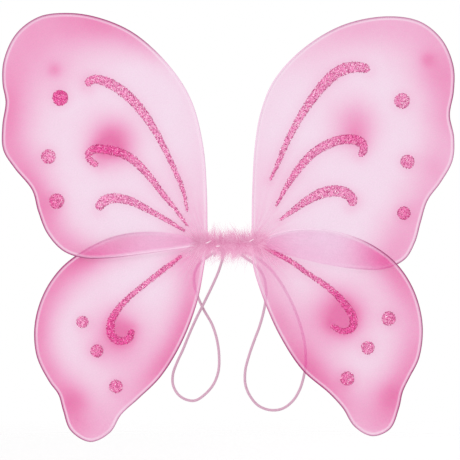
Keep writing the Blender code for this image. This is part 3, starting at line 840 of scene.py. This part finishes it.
class Cloth:
    """The shape and dye of one wing's stretched nylon, at (out, up) points."""

    def __init__(self, wing, seed):
        self.wing = wing
        self.seed = seed
        self.rim = smooth(wing.wire, RIM_POINTS)
        self.share = np.linspace(0, 1, len(self.rim))

    def edge_at(self, points):
        """Each point's distance from the wire, near enough for glitter."""
        return distance_to(points, self.rim[::3])

    def sag(self, points, edge):
        """How far the cloth lies forward of the wing's plane, before its two layers part."""
        slow = wobble(points, 55, self.seed) * 0.8 + wobble(points, 19, self.seed + 3) * 0.25
        return slow * (1 - np.exp(-edge / 14))

    def pleat(self, points, phase):
        """Gathers that run out from the root and die away, from -1 to 1."""
        out, up = points.T
        angle, far = np.arctan2(up, out), np.hypot(out, up)
        bend = wobble(np.stack([angle * 30, far * 0.12], axis=1), 6, self.seed + phase)
        return np.sin(angle * 46 + bend * 5 + phase) * np.exp(-((far / 42) ** 1.5))

    def gap(self, edge):
        """Half the space between the layers: the wire's thickness at the edge, then little."""
        return LAYER_GAP + (CLOTH_R - LAYER_GAP) * np.exp(-edge / 1.9)

    def surface(self, points, edge):
        """The front layer's height forward of the wing's plane."""
        pleat = self.pleat(points, 0) * 0.4 * (1 - np.exp(-edge / 3))
        return self.gap(edge) + self.sag(points, edge) + pleat

    def dye(self, points, edge):
        """How deep the dye is: along the wire, in spots and round glitter, paler just inside the wire,
        where the dye is thinned under the painted highlight.
        """
        places, strengths, reaches = np.array(self.wing.rim, float).T
        strength = np.interp(self.share, places, strengths)
        reach = np.interp(self.share, places, reaches)
        step = length_of(self.rim) / (len(self.rim) - 1)
        total = np.full(len(points), 0.01)
        for middle, s, r in list(zip(self.rim, strength, reach))[::2]:
            near = ((points - middle) ** 2).sum(1) / r**2
            total += s * 2 * step / (r * math.sqrt(math.pi)) * np.exp(-near)
        for out, up, radius, s in self.wing.spots:
            near = ((points - (out, up)) ** 2).sum(1) / radius**2
            total += s * np.exp(-near)
        halo = HALO * np.exp(-((self.off_stroke(points) / HALO_REACH) ** 2))
        total += 0.05 * self.pleat(points, 0) + halo
        # Under the painted highlight just inside the wire, the dye is also thinned.
        return np.clip(total * (1 - 0.6 * self.ridge(points, edge)), 0, 1)

    def off_stroke(self, points):
        """Each point's distance from the nearest glitter stroke or dot."""
        best = np.full(len(points), 99.0)
        swirls = np.vstack([smooth(swirl, 50) for swirl in self.wing.swirls])
        strokes = [*swirls, *np.array(self.wing.dots)]
        for out, up, half in strokes:
            best = np.minimum(best, np.hypot(points[:, 0] - out, points[:, 1] - up) - half)
        return np.maximum(best, 0)

    def wrap(self, points, dye):
        """How much the cloth wraps round the wire, which makes it more opaque and darker by painted shade:
        faint where the dye is pale and near the root.
        """
        far = np.hypot(*points.T)
        return np.clip(1.7 * dye, 0.25, 1) * (1 - np.exp(-((far / 70) ** 2)))

    def ridge(self, points, edge):
        """The painted highlight along the line where the cloth comes off the wire, from 0 to 1."""
        return np.exp(-(((edge - 1.8) / 0.85) ** 2)) * (0.85 + 0.35 * wobble(points, 30, self.seed + 9))


def make_sleeve(cloth, material):
    """The nylon sleeve: a front and a back layer that meet round the outside of the wire."""
    wing, rim = cloth.wing, cloth.rim
    count = len(rim)
    points = np.vstack([rim, cloth_points(rim)])
    flat = [Vector(p) for p in points]
    loop = [(k, (k + 1) % count) for k in range(count)]
    made = geometry.delaunay_2d_cdt(flat, loop, [list(range(count))], 1, 1e-4)
    points = np.array([tuple(v) for v in made[0]])
    triangles = [tuple(f) for f in made[2]]
    where = {old: new for new, olds in enumerate(made[3]) for old in olds}
    rim_index = np.array([where[k] for k in range(count)])
    edge = distance_to(points, rim)
    edge[rim_index] = 0
    dye = cloth.dye(points, edge)
    front = cloth.surface(points, edge)
    back_pleat = cloth.pleat(points, 2) * 0.5 * (1 - np.exp(-edge / 3))
    back = cloth.sag(points, edge) - cloth.gap(edge) + back_pleat
    rim_wrap_and_shade = cloth.wrap(rim, dye[rim_index])
    # Next to the wire the flat layers get the wrap mask too: more cover, and painted shade on their colour.
    near_wrap_and_shade = 0.95 * np.exp(-((edge / 0.75) ** 2)) * cloth.wrap(points, dye)
    layers = [wing.place(*points.T, front), wing.place(*points.T, back)]
    dyes, wraps_and_shades = [dye, dye], [near_wrap_and_shade, near_wrap_and_shade]
    # The painted highlight's mask, on the two flat layers only.
    ridge = cloth.ridge(points, edge)
    wire_highlights = [ridge, ridge]
    pleats = [cloth.pleat(points, 0), cloth.pleat(points, 2)]
    outward = -inward(rim)
    turns = np.radians([30, 60, 90, 120, 150])
    for turn in turns:
        ring = rim + outward * CLOTH_R * math.sin(turn)
        layers.append(wing.place(*ring.T, CLOTH_R * math.cos(turn)))
        # The rings round the wire get a third more dye and the wrap mask, which with the painted shade make
        # the wire's dark outline.
        dyes.append(np.clip(dye[rim_index] * 1.3, 0, 1))
        wraps_and_shades.append(rim_wrap_and_shade)
        pleats.append(np.zeros(count))
        wire_highlights.append(np.zeros(count))
    total = len(points)
    rings = [2 * total + k * count + np.arange(count) for k in range(len(turns))]
    rows = [rim_index, *rings, rim_index + total]
    turned = triangle_faces_front(points, triangles, wing.side)
    faces = [*turned, *[(c + total, b + total, a + total) for a, b, c in turned]]
    for upper, lower in zip(rows, rows[1:]):
        for k in range(count):
            n = (k + 1) % count
            faces.append((upper[k], upper[n], lower[n], lower[k]))
    attributes = {
        "dye": np.concatenate(dyes), "wrap": np.concatenate(wraps_and_shades), "pleat": np.concatenate(pleats),
        "ridge": np.concatenate(wire_highlights),
    }
    piece = new_piece(f"{wing.name}_sleeve", np.vstack(layers), faces, material, attributes)
    fix_normals(piece)
    piece.visible_shadow = False  # Light passes through sheer nylon almost unshadowed
    piece.visible_diffuse = False
    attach(piece, wing.body)
    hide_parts(f"{wing.name}_nylon_sleeve")


def triangle_faces_front(points, triangles, side):
    """The triangles in the order that faces them to the front on that side."""
    turned = []
    for a, b, c in triangles:
        u, v = points[b] - points[a], points[c] - points[a]
        counter = u[0] * v[1] - u[1] * v[0] > 0
        turned.append((a, b, c) if counter == (side > 0) else (c, b, a))
    return turned


def fix_normals(piece):
    """Turns a closed piece's faces outwards."""
    mesh = bmesh.new()
    mesh.from_mesh(piece.data)
    bmesh.ops.recalc_face_normals(mesh, faces=mesh.faces)
    mesh.to_mesh(piece.data)
    mesh.free()


def make_wire(wing, material):
    """A wing's bent wire, with its two ends at the root."""
    rim = smooth(wing.wire, RIM_POINTS)
    path = wing.place(*rim.T, 0.0)
    vertices, faces, *_ = tube(path, WIRE_R * MM, 10)
    piece = new_piece(f"{wing.name}_wire", vertices, faces, material)
    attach(piece, wing.body)
    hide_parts(f"{wing.name}_wire_frame")


# ---------------------------------------------------------------- glitter


def rounded(line):
    """A stroke's half-widths, closed to round tips at its ends."""
    along = along_of(line[:, :2])
    near = np.minimum(along, along[-1] - along)
    share = np.clip(near / line[:, 2], 0, 1)
    return line[:, 2] * np.sqrt(np.maximum(1 - (1 - share) ** 2, 0.02))


def flake_solids(centres, tones, sizes, rng):
    """Closed six-sided flakes at those places in metres, at random tilts to the front."""
    vertices, faces = [], []
    turns = np.arange(FLAKE_SIDES) * math.pi / 3
    count = FLAKE_SIDES + 2
    for k, centre in enumerate(centres):
        normal = np.array([rng.normal(0, FLAKE_TILT), -1.0, rng.normal(0, FLAKE_TILT)])
        normal /= np.linalg.norm(normal)
        across = np.cross(normal, rng.normal(size=3))
        across /= np.linalg.norm(across)
        other = np.cross(normal, across)
        spin = turns + rng.uniform(0, math.pi)
        ring = centre + (np.outer(np.cos(spin), across) + np.outer(np.sin(spin), other)) * sizes[k] * MM
        half = normal * FLAKE_HALF * MM
        vertices.append(np.vstack([ring, centre + half, centre - half]))
        first = k * count
        for j in range(FLAKE_SIDES):
            n = (j + 1) % FLAKE_SIDES
            faces.append((first + j, first + n, first + FLAKE_SIDES))
            faces.append((first + n, first + j, first + FLAKE_SIDES + 1))
    return np.vstack(vertices), faces, np.repeat(tones, count)


def glitter_piece(name, cloth, bead, flakes, looks, rng):
    """Joins a glue bead and its flakes into one piece. Both are deeper pink where the dye is deep."""
    deeper = DEEPER_GLITTER.get(name, 0.0)
    flat, height, bead_faces, cover = bead
    middles, lifts, tones, sizes = flakes
    glue = cloth.wing.place(*flat.T, height)
    edge = cloth.edge_at(middles)
    centres = cloth.wing.place(*middles.T, cloth.surface(middles, edge) + lifts)
    solids, flake_faces, tone = flake_solids(centres, tones, sizes, rng)
    start = len(flat)
    dye = [cloth.dye(flat, cloth.edge_at(flat)), np.repeat(cloth.dye(middles, edge), FLAKE_SIDES + 2)]
    attributes = {
        "cover": np.concatenate([cover, np.ones(len(solids))]),
        "tone": np.concatenate([np.zeros(start), tone]),
        "dye": np.clip(np.concatenate(dye) * 1.25 - 0.1 + deeper, 0, 1),
    }
    faces = [*bead_faces, *[tuple(i + start for i in f) for f in flake_faces]]
    piece = new_piece(f"{name}_sparkle", np.vstack([glue, solids]), faces, looks["glue"], attributes)
    piece.data.materials.append(looks["flake"])
    is_flake = np.arange(len(piece.data.polygons)) >= len(bead_faces)
    piece.data.polygons.foreach_set("material_index", is_flake.astype(np.int32))
    piece.data.polygons.foreach_set("use_smooth", ~is_flake)
    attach(piece, cloth.wing.body)
    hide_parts(name)


def make_swirl(name, cloth, swirl, looks, rng):
    """A stroke of glue with a domed top, set with flakes."""
    line = smooth(swirl, 140)
    half = rounded(line)
    length = length_of(line[:, :2])
    rows, columns = len(line), 9
    across = sideways(line)
    ragged = 1 + 0.05 * wobble(line[:, :2], 3, rng.integers(90))
    u = np.linspace(-1, 1, columns)
    flat = line[:, None, :2] + across[:, None] * (u[None] * (half * ragged)[:, None])[:, :, None]
    flat = np.tile(flat.reshape(-1, 2), (2, 1))
    surface = cloth.surface(flat, cloth.edge_at(flat))
    dome = np.tile(GLUE_HEIGHT * (1 - u**2), rows)
    height = surface + np.concatenate([0.04 + dome, np.full(rows * columns, -0.02)])
    cover = np.tile(0.6 + 0.35 * (1 - u**4), 2 * rows)
    count = int(length * 2 * half.mean() * FLAKES_PER_MM2)
    k = rng.choice(rows, count, p=half / half.sum())
    side = rng.uniform(-1, 1, count)
    rim_count = int(2 * length / RIM_FLAKE_GAP)
    k = np.concatenate([k, rng.integers(0, rows, rim_count)])
    side = np.concatenate([side, rng.choice([-1, 1], rim_count) * rng.uniform(0.92, 1.03, rim_count)])
    middles = line[k, :2] + across[k] * (side * half[k])[:, None]
    middles += rng.uniform(-0.5, 0.5, middles.shape) * length / rows
    glitter_piece(name, cloth, (flat, height, closed_patch(rows, columns), cover),
                  (middles, *flake_looks(side, rim_count, rng)), looks, rng)


def flake_looks(side, rim_count, rng):
    """Flakes' lifts off the cloth, tones and sizes. The last ones lie along the edge, and are darker."""
    count = len(side)
    lifts = 0.10 + GLUE_HEIGHT * np.maximum(0, 1 - side**2) + rng.uniform(0, 0.12, count)
    tones = rng.beta(0.75, 0.75, count)
    tones[-rim_count:] = rng.uniform(0, 0.35, rim_count)
    sizes = rng.uniform(0.40, 0.62, count)
    sizes[-rim_count:] *= 0.85
    return lifts, tones, sizes


def make_dot(name, cloth, dot, looks, rng):
    """A round dot of glue with a domed top, set with flakes."""
    out, up, radius = dot
    rings, columns = 7, 40
    turns = np.arange(columns) * 2 * math.pi / columns
    ragged = 1 + 0.04 * np.sin(turns * 3 + rng.uniform(0, 6)) + 0.02 * rng.normal(size=columns)
    shares = np.linspace(0.02, 1, rings)
    flat = np.stack([np.cos(turns), np.sin(turns)], axis=1)[None] * ragged[None, :, None]
    flat = flat * (shares * radius)[:, None, None] + np.array([out, up])
    flat = np.tile(flat.reshape(-1, 2), (2, 1))
    surface = cloth.surface(flat, cloth.edge_at(flat))
    dome = np.repeat(GLUE_HEIGHT * (1 - shares**2), columns)
    height = surface + np.concatenate([0.04 + dome, np.full(rings * columns, -0.02)])
    cover = np.tile(np.repeat(0.6 + 0.35 * (1 - shares**4), columns), 2)
    count = int(math.pi * radius**2 * FLAKES_PER_MM2)
    rim_count = int(2 * math.pi * radius / RIM_FLAKE_GAP)
    far = np.concatenate([np.sqrt(rng.uniform(0, 1, count)), rng.uniform(0.92, 1.03, rim_count)])
    angle = rng.uniform(0, 2 * math.pi, len(far))
    middles = np.stack([np.cos(angle), np.sin(angle)], axis=1) * (far * radius)[:, None] + (out, up)
    glitter_piece(name, cloth, (flat, height, closed_disc(rings, columns), cover),
                  (middles, *flake_looks(far, rim_count, rng)), looks, rng)


def closed_disc(rings, columns):
    """Faces of a disc's top and bottom rings and of the wall that joins them."""
    total = rings * columns
    top = grid_faces(rings, columns, wrap=True)
    faces = [*top, *[tuple(i + total for i in reversed(f)) for f in top]]
    last = (rings - 1) * columns
    for k in range(columns):
        n = (k + 1) % columns
        faces.append((last + k, last + n, total + last + n, total + last + k))
    return [*faces, tuple(reversed(range(columns))), tuple(range(total, total + columns))]


def closed_patch(rows, columns):
    """Faces of a patch's top and bottom grids and of the wall that joins them."""
    total = rows * columns
    top = grid_faces(rows, columns, wrap=False)
    faces = [*top, *[tuple(i + total for i in reversed(f)) for f in top]]
    border = [*range(columns), *range(2 * columns - 1, total, columns)]
    border += [*range(total - 2, total - columns - 1, -1)]
    border += [*range(total - 2 * columns, 0, -columns)]
    for a, b in zip(border, [*border[1:], border[0]]):
        faces.append((b, a, a + total, b + total))
    return faces


def make_glitter(cloth, looks, seed):
    """All of one wing's strokes and dots."""
    rng = np.random.default_rng(seed)
    for k, swirl in enumerate(cloth.wing.swirls, 1):
        make_swirl(f"{cloth.wing.name}_glitter_swirl_{k}", cloth, swirl, looks, rng)
    for k, dot in enumerate(cloth.wing.dots, 1):
        make_dot(f"{cloth.wing.name}_glitter_dot_{k}", cloth, dot, looks, rng)


# ---------------------------------------------------------------- bridge


def make_tape(material):
    """Cloth tape wound round the stems in overlapping turns."""
    low, high = BRIDGE_BOX
    middle = (low + high) / 2
    half, corner = (high.y - low.y) / 2, 1.6
    rows, columns = 90, 48
    turns = np.arange(columns) * 2 * math.pi / columns
    power = 7
    reach = half / (np.abs(np.cos(turns)) ** power + np.abs(np.sin(turns)) ** power) ** (1 / power)
    reach = np.minimum(reach, half * math.sqrt(2) - corner * (math.sqrt(2) - 1))
    x = np.linspace(low.x, high.x, rows)
    phase = (x[:, None] / TAPE_WIDTH + turns[None] / (2 * math.pi)) % 1.0
    rise = np.where(phase > TAPE_FLAT, (1 - phase) / TAPE_LAP, phase / TAPE_FLAT)
    step = rise * TAPE_STEP - TAPE_STEP
    radius = reach[None] + step
    radius[0] *= 0.9
    radius[-1] *= 0.9
    points = np.stack([
        np.broadcast_to(x[:, None], radius.shape),
        middle.y + radius * np.cos(turns)[None],
        middle.z + radius * np.sin(turns)[None],
    ], axis=-1).reshape(-1, 3)
    ends = np.array([[low.x + 0.2, middle.y, middle.z], [high.x - 0.2, middle.y, middle.z]])
    faces = grid_faces(rows, columns, wrap=True)
    first, last, start = len(points), len(points) + 1, (rows - 1) * columns
    faces += [(first, k, (k + 1) % columns) for k in range(columns)]
    faces += [(last, start + (k + 1) % columns, start + k) for k in range(columns)]
    piece = new_piece("wound_tape", np.vstack([points, ends]) * MM, faces, material)
    fix_normals(piece)
    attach(piece, "bridge")
    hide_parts("bridge_tape_wrap")


def make_stem(wing, material):
    """A wing's two wire ends, twisted together from its root into the tape."""
    low, high = (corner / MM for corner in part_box(f"{wing.name}_twisted_stem"))
    middle = (low + high) / 2
    rise = 0.8 if middle.z > 0 else -0.8
    line = smooth([
        *[(wing.side * out, middle.y, middle.z) for out in STEM_IN_TAPE],
        (wing.side * STEM_TO_ROOT[0], (middle.y * 2 + wing.y) / 3, middle.z * 0.8),
        (wing.side * STEM_TO_ROOT[1], (middle.y + wing.y * 3) / 4, rise),
        (wing.side * STEM_TO_ROOT[2], wing.y, rise * 0.5),
    ], 170)
    _, across, up = frames_along(line)
    strand_r = (high.z - low.z) / 4
    turn = np.linspace(0, 2 * math.pi * length_of(line) / STEM_TWIST, len(line))
    strands = []
    for half in (0, math.pi):
        offset = across * np.cos(turn + half)[:, None] + up * np.sin(turn + half)[:, None]
        strands.append(tube(line + offset * strand_r, strand_r * 0.97, 10))
    vertices, faces = joined(strands)
    piece = new_piece(f"{wing.name}_stem_wires", vertices * MM, faces, material)
    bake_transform(piece)
    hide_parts(f"{wing.name}_twisted_stem")


def make_root(wing, material):
    """Thread wound tightly round the gathered nylon and the wire ends."""
    rows, columns = 110, 36
    x = np.linspace(*WINDING_RUN, rows)
    turns = np.arange(columns) * 2 * math.pi / columns
    ends = np.clip(np.minimum(x - x[0], x[-1] - x) / 0.9, 0, 1) ** 0.5
    phase = x[:, None] / THREAD_PITCH * 2 * math.pi + turns[None]
    bulge = 1 + 0.05 * np.abs(np.sin(phase / 2))
    flare = 1 + 0.02 * np.clip(x - 1, 0, 9)[:, None]
    radius = ends[:, None] * bulge * flare
    out = np.broadcast_to(x[:, None], radius.shape).ravel()
    up = (radius * WINDING_UP * np.sin(turns)[None]).ravel()
    forward = (radius * WINDING_FORWARD * np.cos(turns)[None]).ravel()
    points = wing.place(out, up, forward)
    faces = grid_faces(rows, columns, wrap=True)
    faces += [tuple(reversed(range(columns))), tuple(range((rows - 1) * columns, rows * columns))]
    piece = new_piece(f"{wing.name}_thread_winding", points, faces, material)
    fix_normals(piece)
    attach(piece, wing.body)
    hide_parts(f"{wing.name}_root_wrap")


# ---------------------------------------------------------------- marabou trim


def barb_path(root, turn, lean, sweep, long, rng):
    """One barb's middle line: out from its root at that turn about X, then swept sideways."""
    steps = np.linspace(0, 1, BARB_POINTS)
    away = np.array([lean, -math.cos(turn), math.sin(turn)])
    path = root + away * (steps * long)[:, None] + sweep * (steps**2 * long * 0.45)[:, None]
    path += rng.normal(0, 0.14, path.shape) * steps[:, None]
    path[:, 1] = np.clip(path[:, 1], FLUFF_FRONT, FLUFF_BACK)
    return path


def make_marabou(side, looks, seed):
    """Half of the trim: clumps of fine curved barbs from the quill cord, fewest towards the back."""
    rng = np.random.default_rng(seed)
    low, high = (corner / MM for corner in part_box("feather_trim_cord"))
    core = (low + high) / 2
    steps = np.linspace(0, 1, BARB_POINTS)
    count = BARB_POINTS * BARB_SIDES
    turns = np.arange(BARB_SIDES) * 2 * math.pi / BARB_SIDES
    vertices, tones = [], []
    for _ in range(CLUMPS):
        inmost = -1.5 if rng.uniform() < 0.8 else TUFT_START
        x = side * rng.uniform(inmost, DOWN_REACH)
        turn = rng.uniform(-2.5, 2.1)
        long = rng.uniform(*BARB_LENGTH) * (1 - 0.2 * math.cos(turn) - 0.12 * math.sin(turn))
        beyond = max(0.0, abs(x) - 20) / 10
        lean = side * (rng.normal(0.0, 0.3) + rng.uniform(0, 0.8) * beyond)
        sweep = np.array([rng.normal(0, 0.55), rng.normal(0, 0.35), rng.normal(-0.05, 0.35)])
        tone = rng.uniform(0, 1)
        for _ in range(rng.integers(*CLUMP_BARBS)):
            root = np.array([x, core.y - 1.0, core.z]) + rng.normal(0, 1.6, 3)
            path = barb_path(
                root, turn + rng.normal(0, 0.13), lean + rng.normal(0, 0.10),
                sweep + rng.normal(0, 0.12, 3), long * rng.uniform(0.55, 1.05), rng,
            )
            thick = (0.14 - 0.11 * steps) * rng.uniform(0.8, 1.3)
            _, across, up = frames_along(path)
            ring = across[:, None] * np.cos(turns)[None, :, None]
            ring = ring + up[:, None] * np.sin(turns)[None, :, None]
            vertices.append((path[:, None] + ring * thick[:, None, None]).reshape(-1, 3))
            tones.append(np.full(count, np.clip(tone + rng.normal(0, 0.2), 0, 1)))
    one = [*grid_faces(BARB_POINTS, BARB_SIDES, wrap=True), (2, 1, 0), (count - 3, count - 2, count - 1)]
    faces = [tuple(i + k * count for i in f) for k in range(len(vertices)) for f in one]
    tips = np.tile(np.repeat(steps, BARB_SIDES), len(vertices))
    name = "marabou_left" if side < 0 else "marabou_right"
    attributes = {"tip": tips, "tone": np.concatenate(tones)}
    piece = new_piece(name, np.vstack(vertices) * MM, faces, looks["down"], attributes, shade=False)
    # With no shadows here, the darker colour near the quill is painted shade in place of the barbs' shadows
    # on each other.
    piece.visible_shadow = False  # Light passes between the barbs
    piece.visible_diffuse = False
    blend_to_side(piece)
    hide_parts("feather_trim")


def blend_to_side(piece):
    """Bakes a piece's placement into its mesh; the piece is not bent and does not move with the side."""
    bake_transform(piece)


def make_trim_cord(material):
    """The two-ply thread that the down is bound to."""
    low, high = (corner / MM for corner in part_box("feather_trim_cord"))
    x = np.linspace(low.x, high.x, 160)
    turn = x / PLY_TWIST * 2 * math.pi
    ply = (high.z - low.z) / 4
    plies = []
    for half in (0, math.pi):
        y = (low.y + high.y) / 2 + ply * np.cos(turn + half)
        z = (low.z + high.z) / 2 + ply * np.sin(turn + half)
        plies.append(tube(np.stack([x, y, z], axis=1), ply * 0.95, 8))
    vertices, faces = joined(plies)
    piece = new_piece("trim_cord_plies", vertices * MM, faces, material)
    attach(piece, "bridge")
    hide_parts("feather_trim_cord")


def make_quills(side, quills, material):
    """A few bare quills that show through one half of the down."""
    rng = np.random.default_rng(11)
    tubes = []
    for x, z, lean in quills:
        long = rng.uniform(5, 8)
        t = np.linspace(-0.5, 0.5, 14)
        bow = QUILL_Y - 1.5 * (1 - (2 * t) ** 2)
        path = np.stack([x + t * long, bow, z + lean * t * long + 0.6 * t**2], axis=1)
        tubes.append(tube(path, 0.42 * (1 - 0.7 * np.abs(2 * t) ** 2) + 0.08, 8))
    vertices, faces = joined(tubes)
    name = "quills_left" if side < 0 else "quills_right"
    piece = new_piece(name, vertices * MM, faces, material)
    blend_to_side(piece)


# ---------------------------------------------------------------- assembly


def main():
    """Makes the camera and cords first, then the studio and every other piece."""
    make_camera()
    elastic = elastic_material()
    make_loop("left_braided_loop", LEFT_LOOP, elastic)
    make_loop("right_braided_loop", RIGHT_LOOP, elastic)
    for name in KNOTS:
        make_knot(name, elastic)
    make_lights()
    make_floor()
    nylon, wire, thread = nylon_material(), wire_material(), thread_material()
    looks = {"flake": flake_material(), "glue": glue_material(), "down": down_material()}
    for seed, wing in enumerate(WINGS):
        cloth = Cloth(wing, seed * 20)
        make_wire(wing, wire)
        make_sleeve(cloth, nylon)
        make_glitter(cloth, looks, seed + 100)
        make_root(wing, thread)
        make_stem(wing, wire)
    make_tape(tape_material())
    make_marabou(-1, looks, 5)
    make_marabou(1, looks, 6)
    quill = quill_material()
    make_quills(-1, LEFT_QUILLS, quill)
    make_quills(1, RIGHT_QUILLS, quill)
    make_trim_cord(thread)


main()
